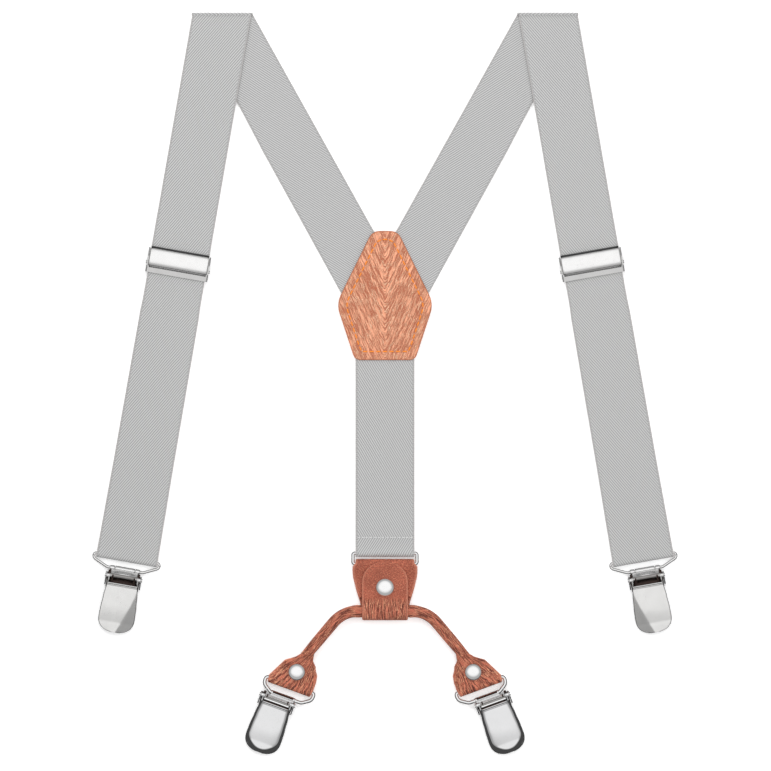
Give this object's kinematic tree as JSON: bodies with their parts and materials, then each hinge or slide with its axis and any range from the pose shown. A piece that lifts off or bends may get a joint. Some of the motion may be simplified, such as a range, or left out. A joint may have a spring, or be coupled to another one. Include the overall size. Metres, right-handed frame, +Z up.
{
  "type": "suspenders",
  "caption": "Y-back suspenders: elastic front straps with cam adjusters and lever clips, leather patch, back strap, ring and leather yoke with two more clips.",
  "frame": {"origin": "centre of the footprint of the suspenders laid flat, on the surface that they lie on", "axes": "+Z up from the surface through the outer face, +Y from the clips towards the shoulder folds, +X across"},
  "size_m": [0.3446, 0.4358, 0.0112],
  "materials": {
    "elastic_webbing": "light grey twill-woven elastic webbing",
    "patch_leather": "tan leather, slightly wrinkled",
    "seam_thread": "orange sewing thread",
    "brown_leather": "red-brown waxed leather with paler veins",
    "satin_nickel": "satin nickel plate",
    "bright_chrome": "bright nickel-chrome plate",
    "grip_plastic": "soft off-white grip plastic"
  },
  "bodies": {
    "harness": {"front_patch": "patch_leather", "rear_patch": "patch_leather", "patch_seam": "seam_thread", "left_strap": "elastic_webbing", "right_strap": "elastic_webbing", "back_strap": "elastic_webbing"},
    "left_adjuster": {"left_adjuster_frame": "satin_nickel", "left_adjuster_pin": "satin_nickel"},
    "left_adjuster_cover": {"left_adjuster_cover": "bright_chrome"},
    "left_strap_end": {"left_strap_end": "elastic_webbing"},
    "front_left_loop": {"front_left_loop": "satin_nickel"},
    "front_left_clip": {"front_left_clip_frame": "satin_nickel", "front_left_clip_pin": "satin_nickel", "front_left_back_pad": "grip_plastic"},
    "front_left_lever": {"front_left_lever": "satin_nickel"},
    "front_left_jaw": {"front_left_jaw": "satin_nickel", "front_left_jaw_pad": "grip_plastic"},
    "right_adjuster": {"right_adjuster_frame": "satin_nickel", "right_adjuster_pin": "satin_nickel"},
    "right_adjuster_cover": {"right_adjuster_cover": "bright_chrome"},
    "right_strap_end": {"right_strap_end": "elastic_webbing"},
    "front_right_loop": {"front_right_loop": "satin_nickel"},
    "front_right_clip": {"front_right_clip_frame": "satin_nickel", "front_right_clip_pin": "satin_nickel", "front_right_back_pad": "grip_plastic"},
    "front_right_lever": {"front_right_lever": "satin_nickel"},
    "front_right_jaw": {"front_right_jaw": "satin_nickel", "front_right_jaw_pad": "grip_plastic"},
    "back_strap_end": {"back_strap_end": "elastic_webbing"},
    "ring": {"ring": "bright_chrome"},
    "connector": {"connector": "brown_leather", "connector_rivet": "bright_chrome"},
    "yoke": {"yoke": "brown_leather", "left_tab_rivet": "bright_chrome", "right_tab_rivet": "bright_chrome"},
    "rear_left_loop": {"rear_left_loop": "bright_chrome"},
    "rear_left_clip": {"rear_left_clip_frame": "bright_chrome", "rear_left_clip_pin": "bright_chrome", "rear_left_back_pad": "grip_plastic"},
    "rear_left_lever": {"rear_left_lever": "bright_chrome"},
    "rear_left_jaw": {"rear_left_jaw": "bright_chrome", "rear_left_jaw_pad": "grip_plastic"},
    "rear_right_loop": {"rear_right_loop": "bright_chrome"},
    "rear_right_clip": {"rear_right_clip_frame": "bright_chrome", "rear_right_clip_pin": "bright_chrome", "rear_right_back_pad": "grip_plastic"},
    "rear_right_lever": {"rear_right_lever": "bright_chrome"},
    "rear_right_jaw": {"rear_right_jaw": "bright_chrome", "rear_right_jaw_pad": "grip_plastic"}
  },
  "joints": [
    {"name": "left_adjuster_slide", "type": "slide", "parent": "harness", "child": "left_adjuster", "axis": [0.1719, 0.9851, 0], "range_m": [-0.11, 0.075], "deforming": ["left_strap"]},
    {"name": "left_adjuster_cover_hinge", "type": "hinge", "parent": "left_adjuster", "child": "left_adjuster_cover", "pos_m": [-0.12182, 0.06906, 0.0077], "axis": [0.9851, -0.1719, 0], "range_deg": [0, 100]},
    {"name": "left_clip_travel", "type": "slide", "parent": "left_adjuster", "child": "left_strap_end", "axis": [0.1719, 0.9851, 0], "range_m": [-0.0375, 0.055], "deforming": ["left_strap_end"]},
    {"name": "front_left_loop_swing", "type": "hinge", "parent": "left_strap_end", "child": "front_left_loop", "pos_m": [-0.15171, -0.10225, 0.0023], "axis": [-0.9851, 0.1719, 0], "range_deg": [0, 40]},
    {"name": "front_left_clip_swing", "type": "hinge", "parent": "front_left_loop", "child": "front_left_clip", "pos_m": [-0.15288, -0.10895, 0.0023], "axis": [-0.9851, 0.1719, 0], "range_deg": [0, 40]},
    {"name": "front_left_lever_hinge", "type": "hinge", "parent": "front_left_clip", "child": "front_left_lever", "pos_m": [-0.15369, -0.11358, 0.0043], "axis": [-0.9851, 0.1719, 0], "range_deg": [0, 100]},
    {"name": "front_left_jaw_hinge", "type": "hinge", "parent": "front_left_clip", "child": "front_left_jaw", "pos_m": [-0.15369, -0.11358, 0.0043], "axis": [-0.9851, 0.1719, 0], "range_deg": [0, 20]},
    {"name": "right_adjuster_slide", "type": "slide", "parent": "harness", "child": "right_adjuster", "axis": [-0.1719, 0.9851, 0], "range_m": [-0.11, 0.075], "deforming": ["right_strap"]},
    {"name": "right_adjuster_cover_hinge", "type": "hinge", "parent": "right_adjuster", "child": "right_adjuster_cover", "pos_m": [0.12182, 0.06906, 0.0077], "axis": [0.9851, 0.1719, 0], "range_deg": [0, 100]},
    {"name": "right_clip_travel", "type": "slide", "parent": "right_adjuster", "child": "right_strap_end", "axis": [-0.1719, 0.9851, 0], "range_m": [-0.0375, 0.055], "deforming": ["right_strap_end"]},
    {"name": "front_right_loop_swing", "type": "hinge", "parent": "right_strap_end", "child": "front_right_loop", "pos_m": [0.15171, -0.10225, 0.0023], "axis": [-0.9851, -0.1719, 0], "range_deg": [0, 40]},
    {"name": "front_right_clip_swing", "type": "hinge", "parent": "front_right_loop", "child": "front_right_clip", "pos_m": [0.15288, -0.10895, 0.0023], "axis": [-0.9851, -0.1719, 0], "range_deg": [0, 40]},
    {"name": "front_right_lever_hinge", "type": "hinge", "parent": "front_right_clip", "child": "front_right_lever", "pos_m": [0.15369, -0.11358, 0.0043], "axis": [-0.9851, -0.1719, 0], "range_deg": [0, 100]},
    {"name": "front_right_jaw_hinge", "type": "hinge", "parent": "front_right_clip", "child": "front_right_jaw", "pos_m": [0.15369, -0.11358, 0.0043], "axis": [-0.9851, -0.1719, 0], "range_deg": [0, 20]},
    {"name": "back_strap_stretch", "type": "slide", "parent": "harness", "child": "back_strap_end", "axis": [0, -1, 0], "range_m": [0, 0.06], "stiffness_N_per_m": 250, "deforming": ["back_strap"]},
    {"name": "ring_swing", "type": "hinge", "parent": "back_strap_end", "child": "ring", "pos_m": [0, -0.0992, 0.0033], "axis": [-1, 0, 0], "range_deg": [0, 25]},
    {"name": "connector_swing", "type": "hinge", "parent": "ring", "child": "connector", "pos_m": [0, -0.1054, 0.0033], "axis": [-1, 0, 0], "range_deg": [0, 30]},
    {"name": "yoke_turn", "type": "hinge", "parent": "connector", "child": "yoke", "pos_m": [0, -0.1333, 0.00585], "axis": [-1, 0, 0], "range_deg": [0, 30]},
    {"name": "rear_left_loop_swing", "type": "hinge", "parent": "yoke", "child": "rear_left_loop", "pos_m": [-0.0557, -0.1767, 0.0033], "axis": [-0.9397, 0.342, 0], "range_deg": [0, 30]},
    {"name": "rear_left_clip_swing", "type": "hinge", "parent": "rear_left_loop", "child": "rear_left_clip", "pos_m": [-0.06222, -0.18263, 0.0033], "axis": [-0.9397, 0.342, 0], "range_deg": [0, 30]},
    {"name": "rear_left_lever_hinge", "type": "hinge", "parent": "rear_left_clip", "child": "rear_left_lever", "pos_m": [-0.06325, -0.18545, 0.0053], "axis": [-0.9397, 0.342, 0], "range_deg": [0, 100]},
    {"name": "rear_left_jaw_hinge", "type": "hinge", "parent": "rear_left_clip", "child": "rear_left_jaw", "pos_m": [-0.06325, -0.18545, 0.0053], "axis": [-0.9397, 0.342, 0], "range_deg": [0, 20]},
    {"name": "rear_right_loop_swing", "type": "hinge", "parent": "yoke", "child": "rear_right_loop", "pos_m": [0.0557, -0.1767, 0.0033], "axis": [-0.9397, -0.342, 0], "range_deg": [0, 30]},
    {"name": "rear_right_clip_swing", "type": "hinge", "parent": "rear_right_loop", "child": "rear_right_clip", "pos_m": [0.06222, -0.18263, 0.0033], "axis": [-0.9397, -0.342, 0], "range_deg": [0, 30]},
    {"name": "rear_right_lever_hinge", "type": "hinge", "parent": "rear_right_clip", "child": "rear_right_lever", "pos_m": [0.06325, -0.18545, 0.0053], "axis": [-0.9397, -0.342, 0], "range_deg": [0, 100]},
    {"name": "rear_right_jaw_hinge", "type": "hinge", "parent": "rear_right_clip", "child": "rear_right_jaw", "pos_m": [0.06325, -0.18545, 0.0053], "axis": [-0.9397, -0.342, 0], "range_deg": [0, 20]}
  ],
  "couplings": [
    {"joint": "left_clip_travel", "follows": "left_adjuster_slide", "ratio": -0.5},
    {"joint": "front_left_jaw_hinge", "follows": "front_left_lever_hinge", "ratio": 0.2},
    {"joint": "right_clip_travel", "follows": "right_adjuster_slide", "ratio": -0.5},
    {"joint": "front_right_jaw_hinge", "follows": "front_right_lever_hinge", "ratio": 0.2},
    {"joint": "rear_left_jaw_hinge", "follows": "rear_left_lever_hinge", "ratio": 0.2},
    {"joint": "rear_right_jaw_hinge", "follows": "rear_right_lever_hinge", "ratio": 0.2}
  ]
}
